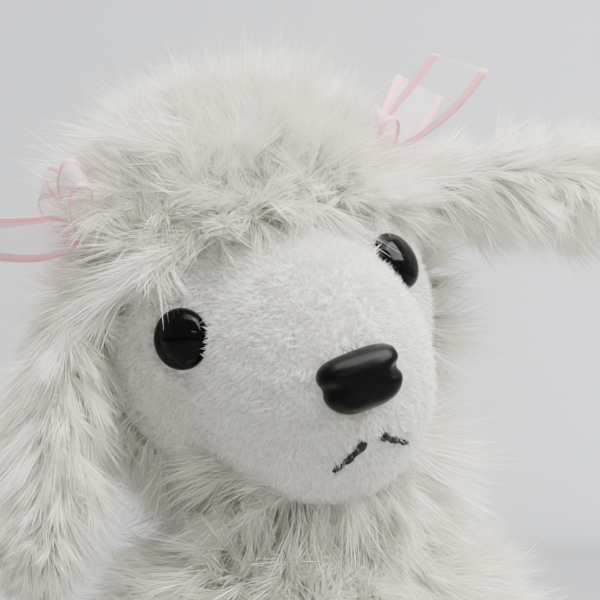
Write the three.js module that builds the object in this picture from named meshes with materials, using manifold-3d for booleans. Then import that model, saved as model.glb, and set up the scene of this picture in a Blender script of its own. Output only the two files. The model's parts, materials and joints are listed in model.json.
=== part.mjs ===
// A sitting plush dog: long-pile body, ears and topknot, a short-pile face, safety eyes and nose,
// and a ribbon bow over each ear. Millimetres, +Z up, facing -Y, the dog's own left on +X.
// The origin is the centre of the flat seat.

import * as THREE from 'three';
import { mergeVertices } from 'three/addons/utils/BufferGeometryUtils.js';
import Module from 'manifold-3d';

const wasm = await Module();
wasm.setup();

// ---- Driving dimensions --------------------------------------------------------------------

const GAP = 0.3; // between pieces that touch
const FINEST = 0.05; // edges and slivers finer than this are merged away
const JOINT_GAP = 1.2; // between pieces that turn past each other
const FABRIC = 1.7; // backing and short pile of one fabric panel

const NECK_PIVOT = new THREE.Vector3(0, -6, 146);
const HEAD_TILT = THREE.MathUtils.degToRad(-20); // resting lean towards the dog's right
const NECK_RADIUS = 22; // outside of the neck panel
const NECK_BAND = 13; // half the height of the neck panel
const BLEND = 0.35; // per mm, how sharply two lobes of a stuffed shape meet
const HEAD_MESH = [24, 17]; // faces around and along the head
const BODY_MESH = [20, 14]; // faces around and along the body

// Head shapes are placed from the middle of the skull, which is above and before the neck pivot.
const SKULL = new THREE.Vector3(0, -6, 36);
const HEAD_LOBES = [
  { centre: [0, 0, 0], semi: [33.7, 23.3, 31.5] }, // forehead and cheeks
  { centre: [0, -20, -11.2], semi: [23.4, 30.6, 27.7] }, // muzzle
  { centre: [0, 3, 1], semi: [34, 29, 34] }, // crown and back of the head
];
const MUZZLE = HEAD_LOBES[1];
const TOPKNOT_PILE = 9; // height of the fluffed pile on the crown
const FACE_TOP = 22; // the forehead seam, above the middle of the skull
const FACE_BACK = 2; // the cheek seam, behind the middle of the skull

const EYE = {
  place: [20.6, -18.3, 3.2],
  turn: THREE.MathUtils.degToRad(14), // outwards from square with the face
  radius: 6,
  dome: 3.8,
  rim: 0.7,
  lift: 0.8, // of the eye's back off its seat
};
const NOSE = { place: [0, -50.4, -14.3], semi: [8.7, 5.2, 6.1], taper: 0.15 };
const SHANK = { radius: 1.6, length: 9 };
const WASHER = { radius: 5, thickness: 1.1, behind: 4.6 };
const MOUTH = { top: -26.3, drop: 3.8, inner: 1.9, outer: 8, thread: 0.6 };

const EAR = { root: [39, 2, 20], length: 66, width: 40, thickness: 13, rise: 2 };
const EAR_ANGLE = { right: 27, left: 70 }; // degrees out from hanging straight down the cheek

// A bow's place and the way its tails point, in the head's frame.
const BOW_PLACE = {
  right: { at: [-34.5, -4, 32], aim: [-0.97, -0.1, 0.25] },
  left: { at: [37.5, -4, 29], aim: [0.9, -0.1, 0.42] },
};
const BOW = {
  ribbon: 13,
  film: 0.7,
  loop: 12,
  loopHeight: 6,
  loopRise: 1, // how steeply each loop rises as it runs fore or aft
  tail: 23,
  tailLean: 76, // degrees that a tail stands off from the fore and aft line
  tailWidth: 12,
  tailFan: 0.12, // radians that each tail turns away from the other
  waist: 1.5,
};
const KNOT = { radius: 4, half: 2 };

const BODY_CENTRE = new THREE.Vector3(0, -3, 60);
const BODY_LOBES = [
  { centre: [0, 3, -26], semi: [41, 38, 42] },
  { centre: [0, -3, 32], semi: [44, 33, 46] },
];

const SIDE_SEAM = 9; // the side seams of the body, behind the middle of the seat

const FRONT_LEG = { hip: [35, -42, 92], foot: [25, -55, 12.5], radius: 11.5, paw: [12.5, 15, 10], ahead: 4 };
const HIND_LEG = { hip: [54, -2, 15.5], foot: [64, -62, 16], radius: 15, paw: [15, 11, 17], ahead: 0 };
const ANKLE = 10; // from the middle of the paw up to its seam

const TAIL = { root: [0, 44.4, 30], tip: [0, 58, 50], stalk: 5, mouth: 3, pom: 13 };

// ---- Materials ------------------------------------------------------------------------------

const finish = (color, roughness, metalness = 0) => () =>
  new THREE.MeshStandardMaterial({ color, roughness, metalness });
const longPile = finish('#efece2', 0.95);
const shortPile = finish('#f1eee6', 0.9);
const fill = finish('#f7f6f2', 1);
const blackPlastic = finish('#08080a', 0.12);
const clearPlastic = finish('#d8d8d4', 0.5);
const thread = finish('#111114', 0.8);
const satin = finish('#e2a0a8', 0.45);

// ---- Shape tools ----------------------------------------------------------------------------

/** A closed geometry as a solid that can be cut and joined. */
function solid(geometry) {
  const bare = geometry.clone();
  bare.deleteAttribute('normal');
  bare.deleteAttribute('uv');
  const merged = mergeVertices(bare, 1e-4);
  const corners = merged.index.array;
  const triangles = [];
  for (let i = 0; i < corners.length; i += 3) {
    const [a, b, c] = corners.slice(i, i + 3);
    if (a !== b && b !== c && c !== a) triangles.push(a, b, c);
  }
  const mesh = new wasm.Mesh({
    numProp: 3,
    vertProperties: new Float32Array(merged.attributes.position.array),
    triVerts: new Uint32Array(triangles),
  });
  return new wasm.Manifold(mesh);
}

/** A solid back as a geometry. */
function geometryOf(shape) {
  const mesh = shape.asOriginal().simplify(FINEST).getMesh();
  const geometry = new THREE.BufferGeometry();
  geometry.setAttribute('position', new THREE.BufferAttribute(mesh.vertProperties, 3));
  geometry.setIndex(new THREE.BufferAttribute(mesh.triVerts, 1));
  geometry.computeVertexNormals();
  return geometry;
}

/** A box between two corners. */
function block(low, high) {
  const size = high.map((value, i) => value - low[i]);
  const middle = high.map((value, i) => (value + low[i]) / 2);
  return new THREE.BoxGeometry(...size).translate(...middle);
}

/** A sphere whose poles are on Z, each point of it moved by a rule that takes its unit direction. */
function sculpt(around, along, rule) {
  const ball = new THREE.SphereGeometry(1, around, along).rotateX(Math.PI / 2);
  const points = ball.attributes.position;
  const direction = new THREE.Vector3();
  for (let i = 0; i < points.count; i += 1) {
    direction.fromBufferAttribute(points, i).normalize();
    points.setXYZ(i, ...rule(direction));
  }
  return ball;
}

/** How far a ray from the origin goes before it leaves an ellipsoid that holds the origin. */
function reach(direction, { centre, semi }) {
  const ray = direction.toArray();
  let a = 0;
  let b = 0;
  let c = -1;
  for (let i = 0; i < 3; i += 1) {
    a += (ray[i] / semi[i]) ** 2;
    b += (ray[i] * centre[i]) / semi[i] ** 2;
    c += (centre[i] / semi[i]) ** 2;
  }
  return (b + Math.sqrt(b * b - a * c)) / a;
}

/** The radius of a stuffed shape of several lobes that run smoothly into each other. */
function lobeRadius(direction, lobes) {
  const total = lobes.reduce((sum, lobe) => sum + Math.exp(BLEND * reach(direction, lobe)), 0);
  return Math.log(total) / BLEND;
}

/** A stuffed shape about a centre, grown by so much in each direction. */
function stuffed(lobes, centre, around, along, grow) {
  const shape = sculpt(around, along, (direction) => {
    const radius = lobeRadius(direction, lobes) + grow(direction);
    return direction.clone().multiplyScalar(radius).toArray();
  });
  return solid(shape.translate(...centre.toArray()));
}

/** A ball about the origin, with the number of faces that suits its size. */
const ball = (radius) => solid(new THREE.SphereGeometry(radius, 18, 12).rotateX(Math.PI / 2));

/** An ellipsoid. */
const egg = (semi, centre) =>
  solid(sculpt(12, 8, (d) => [d.x * semi[0], d.y * semi[1], d.z * semi[2]]).translate(...centre));

/** A turned shape about +Z from [radius, height] points that start and end on the axis or close. */
const turned = (profile, around) =>
  new THREE.LatheGeometry(profile.map(([r, z]) => new THREE.Vector2(r, z)), around).rotateX(Math.PI / 2);

/** The turn that takes +Z to a direction. */
const turnTo = (direction) =>
  new THREE.Quaternion().setFromUnitVectors(new THREE.Vector3(0, 0, 1), direction);

/** A mesh with a name, a shape and a material. */
function piece(name, shape, material) {
  const geometry = shape.isBufferGeometry ? shape : geometryOf(shape);
  const mesh = new THREE.Mesh(geometry, material());
  mesh.name = name;
  return mesh;
}

const SIDES = [
  { side: 'right', sign: -1 },
  { side: 'left', sign: 1 },
];

// ---- Face hardware: eyes, nose and their washers ----------------------------------------------

/** The point of the face in a direction from the skull, and the way the face looks there. */
function facePoint(place) {
  const direction = new THREE.Vector3(...place).normalize();
  const step = 0.02;
  const at = (d) => d.clone().multiplyScalar(lobeRadius(d, HEAD_LOBES));
  const across = new THREE.Vector3(0, 0, 1).cross(direction).normalize();
  const up = direction.clone().cross(across);
  const point = at(direction);
  const aside = at(direction.clone().addScaledVector(across, step).normalize()).sub(point);
  const above = at(direction.clone().addScaledVector(up, step).normalize()).sub(point);
  const normal = aside.cross(above).normalize();
  return { point: point.add(SKULL), normal };
}

/** Cutters for a shank: its hole through the face, the washer's pocket behind, and an eye's seat. */
function shankCutters({ point, normal }) {
  const turn = turnTo(normal);
  const place = (geometry) => solid(geometry.applyQuaternion(turn).translate(...point.toArray()));
  const hole = new THREE.CylinderGeometry(SHANK.radius + GAP, SHANK.radius + GAP, 2 * SHANK.length, 12)
    .rotateX(Math.PI / 2);
  const depth = WASHER.behind + WASHER.thickness + GAP;
  const pocket = new THREE.CylinderGeometry(WASHER.radius + GAP, WASHER.radius + GAP, 2 * depth, 14)
    .rotateX(Math.PI / 2);
  const seat = new THREE.CylinderGeometry(EYE.radius + GAP, EYE.radius + GAP, EYE.radius, 18)
    .rotateX(Math.PI / 2)
    .translate(0, 0, EYE.radius / 2 - GAP);
  return { hole: place(hole), pocket: place(pocket), seat: place(seat) };
}

/** A domed safety eye with its shank, looking along +Z. */
function eyeShape() {
  const steps = 5;
  const profile = [
    [0, -SHANK.length],
    [SHANK.radius, -SHANK.length],
    [SHANK.radius, 0],
    [EYE.radius, 0],
  ];
  for (let i = 0; i < steps; i += 1) {
    const angle = (i / steps) * (Math.PI / 2);
    profile.push([EYE.radius * Math.cos(angle), EYE.rim + EYE.dome * Math.sin(angle)]);
  }
  profile.push([0, EYE.rim + EYE.dome]);
  return turned(profile, 14);
}

/** A rounded nose, wider at the top, with its shank, looking along +Z with its top towards +Y. */
function noseShape() {
  const square = 0.72;
  const swell = (value) => Math.sign(value) * Math.abs(value) ** square;
  const pad = solid(sculpt(16, 10, (d) => {
    const narrow = 1 + NOSE.taper * d.y;
    return [swell(d.x) * NOSE.semi[0] * narrow, swell(d.y) * NOSE.semi[2], d.z * NOSE.semi[1]];
  }));
  const front = pad.intersect(solid(block([-20, -20, -1], [20, 20, 20])));
  const shank = new THREE.CylinderGeometry(SHANK.radius, SHANK.radius, SHANK.length, 12)
    .rotateX(Math.PI / 2)
    .translate(0, 0, -SHANK.length / 2);
  return geometryOf(front.add(solid(shank)));
}

/** A washer that grips a shank behind the fabric. */
function washerShape() {
  const top = -WASHER.behind;
  const bottom = top - WASHER.thickness;
  const hole = SHANK.radius + GAP;
  const profile = [
    [hole, bottom],
    [WASHER.radius, bottom],
    [WASHER.radius, top],
    [hole, top],
    [hole, bottom],
  ];
  return turned(profile, 14);
}

/** Puts a piece that looks along +Z onto the face. */
function onFace(mesh, { point, normal }, lift) {
  mesh.quaternion.copy(turnTo(normal));
  mesh.position.copy(point).addScaledVector(normal, lift);
  return mesh;
}

// ---- Head ------------------------------------------------------------------------------------

const eyePoints = SIDES.map(({ side, sign }) => {
  const [x, y, z] = EYE.place;
  const face = facePoint([sign * x, y, z]);
  face.normal.applyAxisAngle(new THREE.Vector3(0, 0, 1), sign * EYE.turn);
  return { side, face };
});
const noseFace = facePoint(NOSE.place);
const neckRoom = () => ball(NECK_RADIUS + JOINT_GAP);
const crownPile = (d) => FABRIC / 2 + TOPKNOT_PILE * Math.max(0, d.z) ** 2;

/** The short-pile front of the head, up to the forehead seam and back to the cheek seams. */
function faceShape() {
  const outside = stuffed(HEAD_LOBES, SKULL, ...HEAD_MESH, () => 0);
  const inside = stuffed(HEAD_LOBES, SKULL, ...HEAD_MESH, () => -FABRIC);
  const front = block([-60, -80, -80], [60, FACE_BACK - GAP / 2, FACE_TOP - GAP / 2]);
  let face = outside.subtract(inside).intersect(solid(front.translate(...SKULL.toArray())));
  face = face.subtract(neckRoom());
  [...eyePoints.map((eye) => eye.face), noseFace].forEach((spot) => {
    face = face.subtract(shankCutters(spot).hole);
  });
  eyePoints.forEach((eye) => {
    face = face.subtract(shankCutters(eye.face).seat);
  });
  return face;
}

/** The long-pile cap from the forehead over the crown and down the back of the head. */
function topknotShape() {
  const outside = stuffed(HEAD_LOBES, SKULL, ...HEAD_MESH, crownPile);
  const inside = stuffed(HEAD_LOBES, SKULL, ...HEAD_MESH, () => -FABRIC);
  const front = block([-60, -80, -80], [60, FACE_BACK + GAP / 2, FACE_TOP + GAP / 2]);
  const cap = outside.subtract(inside).subtract(solid(front.translate(...SKULL.toArray())));
  return cap.subtract(neckRoom());
}

/** The fill of the head, with a pocket for each washer and a bowl for the neck. */
function headFillShape() {
  let core = stuffed(HEAD_LOBES, SKULL, ...HEAD_MESH, () => -FABRIC - 2 * GAP).subtract(neckRoom());
  [...eyePoints.map((eye) => eye.face), noseFace].forEach((spot) => {
    const { hole, pocket } = shankCutters(spot);
    core = core.subtract(pocket).subtract(hole);
  });
  return core;
}

/** One leg of the mouth, a thread that lies along the muzzle and falls away from the middle. */
function mouthShape(sign) {
  const points = [0, 0.33, 0.67, 1].map((part) => {
    const x = sign * THREE.MathUtils.lerp(MOUTH.inner, MOUTH.outer, part);
    const z = MOUTH.top - MOUTH.drop * part ** 0.8;
    const flat = (x / MUZZLE.semi[0]) ** 2 + ((z - MUZZLE.centre[2]) / MUZZLE.semi[2]) ** 2;
    const y = MUZZLE.centre[1] - MUZZLE.semi[1] * Math.sqrt(1 - flat);
    const { point, normal } = facePoint([x, y, z]);
    return point.addScaledVector(normal, MOUTH.thread + 2 * GAP);
  });
  const section = new THREE.Shape();
  section.absarc(0, 0, MOUTH.thread, 0, 2 * Math.PI);
  return new THREE.ExtrudeGeometry(section, {
    steps: 5,
    curveSegments: 4,
    extrudePath: new THREE.CatmullRomCurve3(points),
  });
}

/** Half of an ear: the outer or the inner fabric, hanging along -Z from its root. */
function earShape(towards) {
  const whole = sculpt(16, 11, (d) => {
    const swell = 0.8 - 0.2 * d.z;
    const middle = EAR.rise - EAR.length / 2;
    return [
      d.x * (EAR.thickness / 2) * swell,
      d.y * (EAR.width / 2) * swell,
      middle + (d.z * EAR.length) / 2,
    ];
  });
  const near = towards * (GAP / 2);
  const far = towards * 40;
  const half = block([Math.min(near, far), -60, -90], [Math.max(near, far), 60, 20]);
  return solid(whole).intersect(solid(half));
}

/** An ear on its root, as a group that turns about the root. */
function ear({ side, sign }) {
  const group = new THREE.Group();
  const [x, y, z] = EAR.root;
  group.position.set(sign * x, y, z).add(SKULL);
  group.rotation.y = THREE.MathUtils.degToRad(-sign * EAR_ANGLE[side]);
  group.add(piece(`${side}_ear_outer`, earShape(sign), longPile));
  group.add(piece(`${side}_ear_inner`, earShape(-sign), longPile));
  return group;
}

/** A flat strip of ribbon from the origin along a direction in the X-Z plane, its width along Y. */
function strip(length, lean, fan) {
  const tape = new THREE.BoxGeometry(length, BOW.tailWidth, BOW.film).translate(length / 2, 0, 0);
  return tape.rotateZ(fan).rotateY(-lean);
}

/** The ribbon of a bow: a gathered waist, two loops that turn up in Y and two tails along Z. */
function ribbonShape(up) {
  const start = KNOT.half + GAP;
  const oval = (length, height, turn) => {
    const shape = new THREE.Shape();
    shape.absellipse(start + BOW.loop / 2, 0, length / 2, height / 2, 0, 2 * Math.PI, turn);
    return shape;
  };
  const band = (shape, rise, width) => solid(new THREE.ExtrudeGeometry(shape, {
    depth: width,
    bevelEnabled: false,
    curveSegments: 6,
  }).rotateX(Math.PI / 2)
    .translate(-start, width / 2, 0)
    .applyMatrix4(new THREE.Matrix4().makeShear(rise, 0, 0, 0, 0, 0))
    .translate(start, 0, 0));
  const outline = oval(BOW.loop, BOW.loopHeight, false);
  const hollow = oval(BOW.loop - 2 * BOW.film, BOW.loopHeight - 2 * BOW.film, false);
  const loop = (rise) => band(outline, rise, BOW.ribbon).subtract(band(hollow, rise, BOW.ribbon + 2));
  const lean = THREE.MathUtils.degToRad(BOW.tailLean);
  const rise = up * BOW.loopRise;
  let ribbon = solid(block([-start - 1, -BOW.waist, -BOW.waist], [start + 1, BOW.waist, BOW.waist]));
  [-1, 1].forEach((way) => {
    const tail = solid(strip(BOW.tail, lean, way * BOW.tailFan).translate(start + BOW.film, 0, 0));
    const half = loop(way * rise).add(tail);
    ribbon = ribbon.add(way > 0 ? half : half.rotate([0, 0, 180]));
  });
  return ribbon;
}

/** The wrap round the waist of a bow. */
function knotShape() {
  const inner = BOW.waist * Math.SQRT2 + GAP;
  const profile = [
    [inner, -KNOT.half],
    [KNOT.radius - 0.6, -KNOT.half],
    [KNOT.radius, 0],
    [KNOT.radius - 0.6, KNOT.half],
    [inner, KNOT.half],
    [inner, -KNOT.half],
  ];
  return turned(profile, 12).rotateY(Math.PI / 2);
}

/** A bow on the head above an ear root, its tails standing away from the skull. */
function bow({ side, sign }) {
  const group = new THREE.Group();
  group.position.set(...BOW_PLACE[side].at).add(SKULL);
  const away = new THREE.Vector3(...BOW_PLACE[side].aim).normalize();
  const across = away.clone().cross(new THREE.Vector3(0, -1, 0)).normalize();
  const forward = across.clone().cross(away);
  group.setRotationFromMatrix(new THREE.Matrix4().makeBasis(forward, across, away));
  group.add(piece(`${side}_bow_ribbon`, ribbonShape(-sign), satin));
  group.add(piece(`${side}_bow_knot`, knotShape(), satin));
  return group;
}

/** The whole head, about the neck pivot, leaning as it rests. */
function head() {
  const group = new THREE.Group();
  group.position.copy(NECK_PIVOT);
  group.rotation.y = HEAD_TILT;
  group.add(piece('face_panel', faceShape(), shortPile));
  group.add(piece('topknot_cap', topknotShape(), longPile));
  group.add(piece('head_stuffing', headFillShape(), fill));
  eyePoints.forEach(({ side, face }) => {
    group.add(onFace(piece(`${side}_eye`, eyeShape(), blackPlastic), face, EYE.lift));
    group.add(onFace(piece(`${side}_eye_washer`, washerShape(), clearPlastic), face, 0));
  });
  group.add(onFace(piece('nose', noseShape(), blackPlastic), noseFace, 1 + GAP));
  group.add(onFace(piece('nose_washer', washerShape(), clearPlastic), noseFace, 0));
  SIDES.forEach((each) => {
    group.add(piece(`mouth_stitch_${each.side}`, mouthShape(each.sign), thread));
    group.add(ear(each));
    group.add(bow(each));
  });
  return group;
}

// ---- Neck and body -----------------------------------------------------------------------------

/** The neck: a ball of fill in a band of long pile, both about the neck pivot. */
function neck() {
  const group = new THREE.Group();
  group.position.copy(NECK_PIVOT);
  const band = block([-40, -40, -NECK_BAND], [40, 40, NECK_BAND]);
  const skin = ball(NECK_RADIUS).subtract(ball(NECK_RADIUS - FABRIC)).intersect(solid(band));
  group.add(piece('neck_panel', skin, longPile));
  group.add(piece('neck_stuffing', ball(NECK_RADIUS - FABRIC - JOINT_GAP), fill));
  return group;
}

/** The body: a front and a back panel sewn down the sides, flat under the seat, and their fill. */
function body() {
  const group = new THREE.Group();
  const above = (height) => solid(block([-90, -90, height], [90, 90, 200]));
  const socket = neckRoom().translate(NECK_PIVOT.toArray());
  const stuffing = (inset) => stuffed(BODY_LOBES, BODY_CENTRE, ...BODY_MESH, () => -inset);
  const inside = stuffing(FABRIC).intersect(above(FABRIC));
  const skin = stuffing(0).intersect(above(0)).subtract(inside).subtract(socket);
  const front = solid(block([-90, -90, -5], [90, SIDE_SEAM - GAP / 2, 200]));
  const back = solid(block([-90, SIDE_SEAM + GAP / 2, -5], [90, 90, 200]));
  group.add(piece('body_front_panel', skin.intersect(front), longPile));
  group.add(piece('body_back_panel', skin.intersect(back), longPile));
  const core = stuffing(FABRIC + 2 * GAP).intersect(above(FABRIC + GAP));
  group.add(piece('body_stuffing', core.subtract(socket), fill));
  return group;
}

// ---- Legs and tail -----------------------------------------------------------------------------

/** A leg hanging along -Z from the origin, so much smaller all round. */
function legSolid({ radius, paw, ahead }, length, shrink) {
  const limb = new THREE.CapsuleGeometry(radius - shrink, length, 3, 12)
    .rotateX(Math.PI / 2)
    .translate(0, 0, -length / 2);
  return solid(limb).add(egg(paw.map((semi) => semi - shrink), [0, -ahead, -length]));
}

/** A leg: its long-pile sleeve, its short-pile paw and its fill. */
function leg(name, spec, { side, sign }) {
  const hip = new THREE.Vector3(sign * spec.hip[0], spec.hip[1], spec.hip[2]);
  const foot = new THREE.Vector3(sign * spec.foot[0], spec.foot[1], spec.foot[2]);
  const length = hip.distanceTo(foot);
  const group = new THREE.Group();
  group.position.copy(hip);
  group.quaternion.copy(turnTo(hip.clone().sub(foot).normalize()));
  const skin = legSolid(spec, length, 0).subtract(legSolid(spec, length, FABRIC));
  const seam = ANKLE - length;
  const upper = solid(block([-60, -60, seam + GAP / 2], [60, 60, 60]));
  const lower = solid(block([-60, -60, -200], [60, 60, seam - GAP / 2]));
  group.add(piece(`${side}_${name}_leg_sleeve`, skin.intersect(upper), longPile));
  group.add(piece(`${side}_${name}_paw`, skin.intersect(lower), shortPile));
  group.add(piece(`${side}_${name}_leg_stuffing`, legSolid(spec, length, FABRIC + GAP), fill));
  return group;
}

/** The tail: a stalk of fill in its cover, with a round pom of long pile over the end. */
function tail() {
  const root = new THREE.Vector3(...TAIL.root);
  const tip = new THREE.Vector3(...TAIL.tip);
  const length = root.distanceTo(tip);
  const group = new THREE.Group();
  group.position.copy(root);
  group.quaternion.copy(turnTo(tip.clone().sub(root).normalize()));
  const stalk = (radius) => solid(new THREE.CapsuleGeometry(radius, length, 3, 10)
    .rotateX(Math.PI / 2)
    .translate(0, 0, length / 2));
  const pom = ball(TAIL.pom).translate([0, 0, length]);
  const cover = stalk(TAIL.stalk).add(pom);
  const mouth = solid(block([-30, -30, -30], [30, 30, -TAIL.mouth]));
  group.add(piece('tail_cover', cover.subtract(stalk(TAIL.stalk - FABRIC)).subtract(mouth), longPile));
  group.add(piece('tail_stuffing', stalk(TAIL.stalk - FABRIC - GAP).subtract(mouth), fill));
  return group;
}

// ---- The toy -----------------------------------------------------------------------------------

const toy = new THREE.Group();
toy.add(body(), neck(), head(), tail());
SIDES.forEach((each) => {
  toy.add(leg('front', FRONT_LEG, each));
  toy.add(leg('hind', HIND_LEG, each));
});

export default toy;
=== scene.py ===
"""The looks of a sitting plush dog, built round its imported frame.

Lengths are millimetres until a mesh is made, and the toy faces -Y with its own left on +X.
Pile is real geometry: flat tapering strands, gathered into locks, that grow from each fabric skin.
"""

import json
import math

import bmesh
import bpy
import numpy as np
from mathutils import Matrix, Vector


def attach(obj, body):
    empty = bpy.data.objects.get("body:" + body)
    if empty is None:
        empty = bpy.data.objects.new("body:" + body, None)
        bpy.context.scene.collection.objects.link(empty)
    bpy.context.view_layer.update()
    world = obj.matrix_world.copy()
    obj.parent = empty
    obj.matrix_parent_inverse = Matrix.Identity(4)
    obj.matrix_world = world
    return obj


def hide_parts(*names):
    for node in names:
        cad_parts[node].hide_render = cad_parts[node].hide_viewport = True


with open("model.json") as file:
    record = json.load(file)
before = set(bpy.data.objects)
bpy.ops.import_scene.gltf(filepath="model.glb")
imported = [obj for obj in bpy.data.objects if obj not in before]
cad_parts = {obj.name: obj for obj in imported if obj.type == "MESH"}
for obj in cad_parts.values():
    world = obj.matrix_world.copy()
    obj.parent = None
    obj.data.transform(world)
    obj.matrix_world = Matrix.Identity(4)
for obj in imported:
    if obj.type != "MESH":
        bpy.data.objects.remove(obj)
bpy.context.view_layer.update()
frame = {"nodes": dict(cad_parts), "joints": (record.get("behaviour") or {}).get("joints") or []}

MM = 0.001
UP = np.array([0.0, 0.0, 1.0])
JOINT_AT = {joint["name"]: np.array(joint["pos_m"]) / MM for joint in frame["joints"]}
SIDES = {"right": -1, "left": 1}

# ---- Shape of the toy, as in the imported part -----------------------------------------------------

HEAD_TILT = -20
SKULL = np.array([0, -6, 36])  # from the neck pivot, before the head leans
BLEND = 0.35
HEAD_LOBES = [
    ([0, 0, 0], [33.7, 23.3, 31.5]),
    ([0, -20, -11.2], [23.4, 30.6, 27.7]),
    ([0, 3, 1], [34, 29, 34]),
]
MUZZLE_CENTRE, MUZZLE_SEMI = HEAD_LOBES[1]
CROWN_RISE = 9  # height of the fluffed crown over the skull
FACE_TOP = 22
FACE_BACK = 2
NAPE_START = 12  # how far back the topknot's pile runs
EYE_PLACE = [20.6, -18.3, 3.2]
EYE_RADIUS = 6.5
EYE_DOME = 3.8
EYE_RIM = 0.7
EYE_LIFT = 1.5
EYE_DEPTH = 8
EYE_CLEARING = 1.2  # bare face beyond the rim of an eye
LASH_BAND = [0.9, 2.4]  # beyond the rim
LASH_TOP = 2.5  # lashes above this height on the eye are longer, and lean over it
NOSE_PLACE = [0, -50.4, -14.3]
NOSE_SEMI = [8.7, 6.1, 5.2]
NOSE_LIFT = 1.3
MOUTH_TOP = -26.3
MOUTH_DROP = 3.8
MOUTH_SPAN = [1.9, 8]
EAR_LENGTH = 66
EAR_WIDTH = 40
EAR_THICKNESS = 13
EAR_RISE = 2
EAR_ANGLE = {"right": 27, "left": 70}
# A bow's place and the way its tails point, in the head's frame.
BOWS = {
    "right": {"at": [-34.5, -4, 32], "aim": [-0.97, -0.1, 0.25]},
    "left": {"at": [37.5, -4, 29], "aim": [0.9, -0.1, 0.42]},
}
RIBBON = 13
SATIN_EDGE = 2.3
LOOP_LENGTH = {"right": 16, "left": 9}
LOOP_HEIGHT = 7
TAIL_LENGTH = 24
TAIL_TWIST = {"right": 58, "left": 8}  # degrees from root to cut end
TAIL_CUT = 6.5  # how far aslant the end of a tail is cut
RIBBON_COLUMNS = 14  # of faces across a ribbon
BODY_CENTRE = np.array([0, -3, 60])
BODY_LOBES = [([0, 3, -26], [41, 38, 42]), ([0, -3, 32], [44, 33, 46])]
SIDE_SEAM = 9
CHEST_BOTTOM = 96
CHEST_BACK = 12
LEGS = {
    "front": {"foot": [25, -55, 12.5], "radius": 11.5, "paw": [12.5, 15, 10], "ahead": 4},
    "hind": {"foot": [64, -62, 16], "radius": 15, "paw": [15, 11, 17], "ahead": 0},
}
ANKLE = 10
NECK_RADIUS = 22
NECK_BAND = 13
TAIL_TIP = np.array([0, 58, 50])
TAIL_STALK = 5
TAIL_POM = 13

# ---- Camera, light and floor ---------------------------------------------------------------------

CAMERA_AZIMUTH = -16
CAMERA_ELEVATION = -2.9
CAMERA_DISTANCE = 560
CAMERA_LENS = 154.6
CAMERA_AIM = [6.9, 4.8]  # from the middle of the skull, to the right of the view and up


def unit(vectors):
    """Vectors of length one, along the last axis."""
    vectors = np.asarray(vectors, float)
    return vectors / np.maximum(np.linalg.norm(vectors, axis=-1, keepdims=True), 1e-12)


def turn(axis, degrees):
    """The matrix that turns about an axis through the origin."""
    return np.array(Matrix.Rotation(math.radians(degrees), 3, Vector(axis)))


class Place:
    """A frame of reference: points and directions given in it come out in the toy's own frame."""

    def __init__(self, origin, axes):
        self.origin = np.asarray(origin, float)
        self.axes = np.asarray(axes, float)

    def point(self, local):
        return self.origin + np.asarray(local, float) @ self.axes.T

    def direction(self, local):
        return np.asarray(local, float) @ self.axes.T

    def local(self, points):
        return (points - self.origin) @ self.axes


HEAD_TURN = turn((0, 1, 0), HEAD_TILT)
HEAD = Place(JOINT_AT["head_tilt"] + HEAD_TURN @ SKULL, HEAD_TURN)


def add_camera():
    azimuth, elevation = math.radians(CAMERA_AZIMUTH), math.radians(CAMERA_ELEVATION)
    back = Vector((
        math.sin(azimuth) * math.cos(elevation),
        -math.cos(azimuth) * math.cos(elevation),
        math.sin(elevation),
    ))
    turned = (-back).to_track_quat("-Z", "Y")
    right, above = turned @ Vector((1, 0, 0)), turned @ Vector((0, 1, 0))
    aim = Vector(HEAD.origin) + CAMERA_AIM[0] * right + CAMERA_AIM[1] * above
    data = bpy.data.cameras.new("camera")
    data.lens = CAMERA_LENS
    data.clip_start, data.clip_end = 0.01, 20
    camera = bpy.data.objects.new("camera", data)
    camera.location = (aim + CAMERA_DISTANCE * back) * MM
    camera.rotation_mode = "QUATERNION"
    camera.rotation_quaternion = turned
    bpy.context.collection.objects.link(camera)
    bpy.context.scene.camera = camera


def add_light(name, place, size, power, colour, height=None):
    """A square or oblong lamp at a place in metres from the head, facing it."""
    data = bpy.data.lights.new(name, "AREA")
    data.shape = "RECTANGLE"
    data.size, data.size_y = size, height or size
    data.energy, data.color = power, colour
    lamp = bpy.data.objects.new(name, data)
    head = Vector(HEAD.origin) * MM
    lamp.location = head + Vector(place)
    lamp.rotation_mode = "QUATERNION"
    lamp.rotation_quaternion = (head - lamp.location).to_track_quat("-Z", "Y")
    bpy.context.collection.objects.link(lamp)


def add_lights():
    add_light("key", (0.85, -0.75, 1.3), 1.4, 98, (1.0, 0.99, 0.97))
    add_light("over", (-0.1, -0.35, 1.5), 1.2, 44, (1.0, 0.99, 0.97))
    add_light("back", (0.3, 0.9, 0.9), 1.2, 14, (0.96, 0.98, 1.0))
    add_light("glint", (-0.25, -1.2, 0.35), 0.5, 1.2, (1.0, 1.0, 1.0), 0.012)
    world = bpy.data.worlds.new("studio")
    world.use_nodes = True
    sky = world.node_tree.nodes["Background"]
    sky.inputs["Color"].default_value = (0.93, 0.935, 0.95, 1)
    sky.inputs["Strength"].default_value = 0.76
    bpy.context.scene.world = world


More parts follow.
